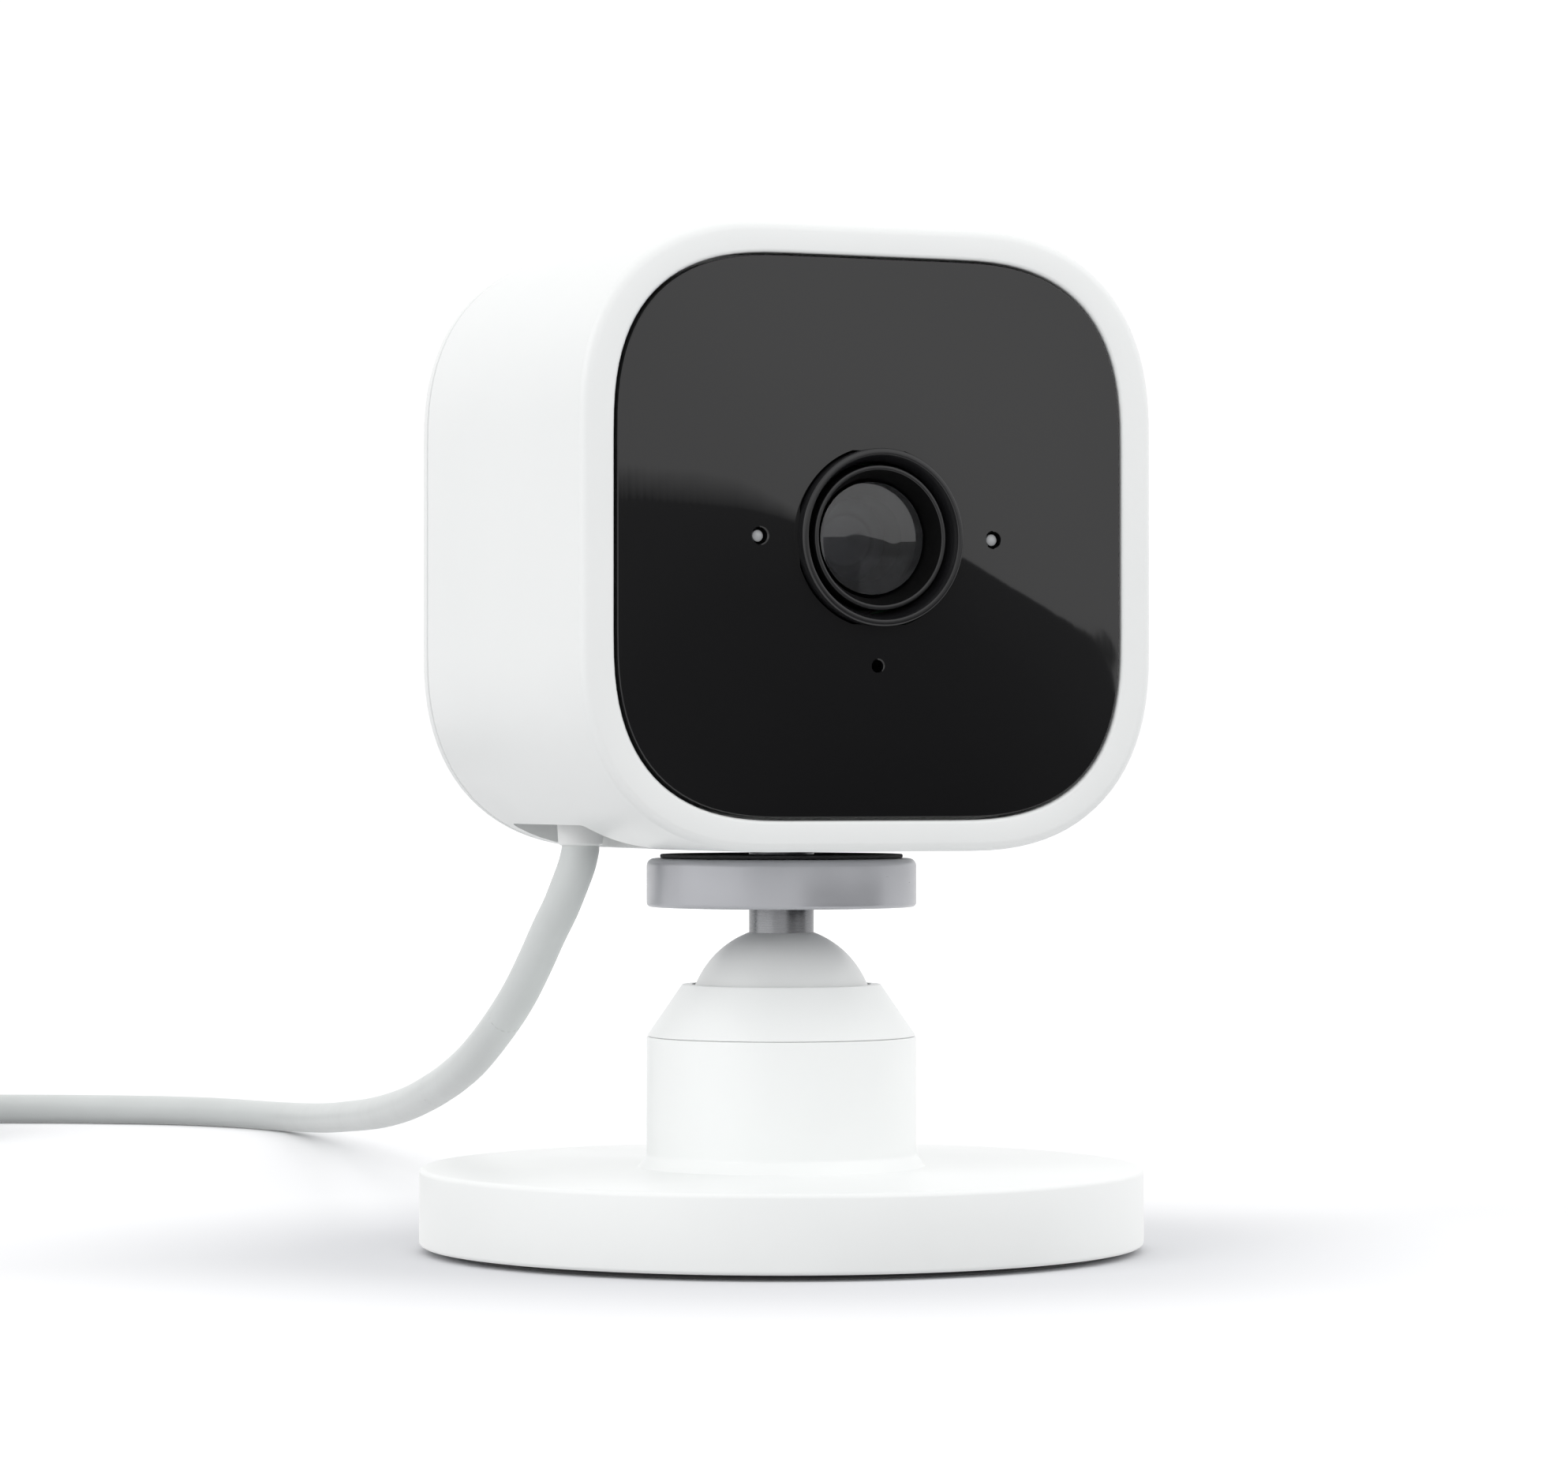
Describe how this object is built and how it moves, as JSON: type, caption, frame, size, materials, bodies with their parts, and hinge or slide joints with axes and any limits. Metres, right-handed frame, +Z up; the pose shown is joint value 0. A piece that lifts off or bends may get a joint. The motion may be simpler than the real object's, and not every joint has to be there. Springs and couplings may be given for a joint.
{
  "type": "indoor security camera",
  "caption": "Small white indoor security camera with a black glossy front and a USB lead, on a round base with a ball joint.",
  "frame": {"origin": "middle of the base's underside, on the ground", "axes": "+Z up through the stand, the lens looks along -Y, +X to the right seen from in front"},
  "size_m": [0.1041, 0.2255, 0.082],
  "materials": {
    "white_plastic": "satin, moulded white",
    "window_black": "high gloss black",
    "black_plastic": "fine matt",
    "grey_plastic": "satin grey",
    "rubber": "matt",
    "lens_glass": "coated, polished",
    "clear_plastic": "clear, moulded",
    "steel": "plain, turned or pressed",
    "aluminium": "bent sheet",
    "circuit_board": "green solder mask",
    "chip": "moulded package",
    "foam": "soft, dark",
    "lead": "soft white vinyl"
  },
  "bodies": {
    "stand": {"collar": "white_plastic", "base_shell": "white_plastic", "ball_seat": "black_plastic", "seat_spring": "steel", "base_plate": "white_plastic", "plate_screw_1": "steel", "plate_screw_2": "steel", "plate_screw_3": "steel", "foot_ring": "rubber", "cord_floor": "lead", "cord_coil": "lead", "large_plug_body": "lead", "large_plug_shell": "steel"},
    "cup": {"friction_cup": "black_plastic", "cord_lower": "lead"},
    "arm": {"mount_disc": "grey_plastic", "disc_pad": "rubber", "ball_stem": "steel", "ball": "white_plastic", "cord_middle": "lead"},
    "head": {"housing": "white_plastic", "rear_cover": "white_plastic", "front_window": "window_black", "window_gasket": "foam", "cable_well": "white_plastic", "mount_socket": "black_plastic", "lens_ring": "black_plastic", "lens_barrel": "black_plastic", "front_lens": "lens_glass", "rear_lens": "lens_glass", "lens_holder": "black_plastic", "infrared_filter": "lens_glass", "image_sensor": "chip", "sensor_board": "circuit_board", "light_pipe_left": "clear_plastic", "light_pipe_right": "clear_plastic", "status_led_left": "clear_plastic", "status_led_right": "clear_plastic", "microphone": "steel", "front_board": "circuit_board", "inner_frame": "black_plastic", "main_board": "circuit_board", "frame_screw_1": "steel", "frame_screw_2": "steel", "frame_screw_3": "steel", "frame_screw_4": "steel", "sensor_flex": "foam", "processor": "chip", "shield_can": "steel", "heat_spreader": "aluminium", "speaker": "black_plastic", "speaker_gasket": "foam", "wifi_antenna": "circuit_board", "usb_socket": "steel", "reset_switch": "chip", "cord_upper": "lead", "small_plug_body": "lead", "small_plug_shell": "steel"},
    "button": {"reset_button": "grey_plastic"}
  },
  "joints": [
    {"name": "side_lean", "type": "hinge", "parent": "stand", "child": "cup", "pos_m": [0, 0, 0.01873], "axis": [0, 1, 0], "range_deg": [-30, 30], "deforming": ["cord_lower"]},
    {"name": "nod", "type": "hinge", "parent": "cup", "child": "arm", "pos_m": [0, 0, 0.01873], "axis": [1, 0, 0], "range_deg": [-30, 30], "deforming": ["cord_middle"]},
    {"name": "swivel", "type": "hinge", "parent": "arm", "child": "head", "pos_m": [0, 0, 0.0329], "axis": [0, 0, 1], "range_deg": [-90, 90], "deforming": ["cord_upper"]},
    {"name": "reset_press", "type": "slide", "parent": "head", "child": "button", "axis": [0, 0, 1], "range_m": [0, 0.0008], "stiffness_N_per_m": 1500, "springref_m": -0.0003}
  ]
}
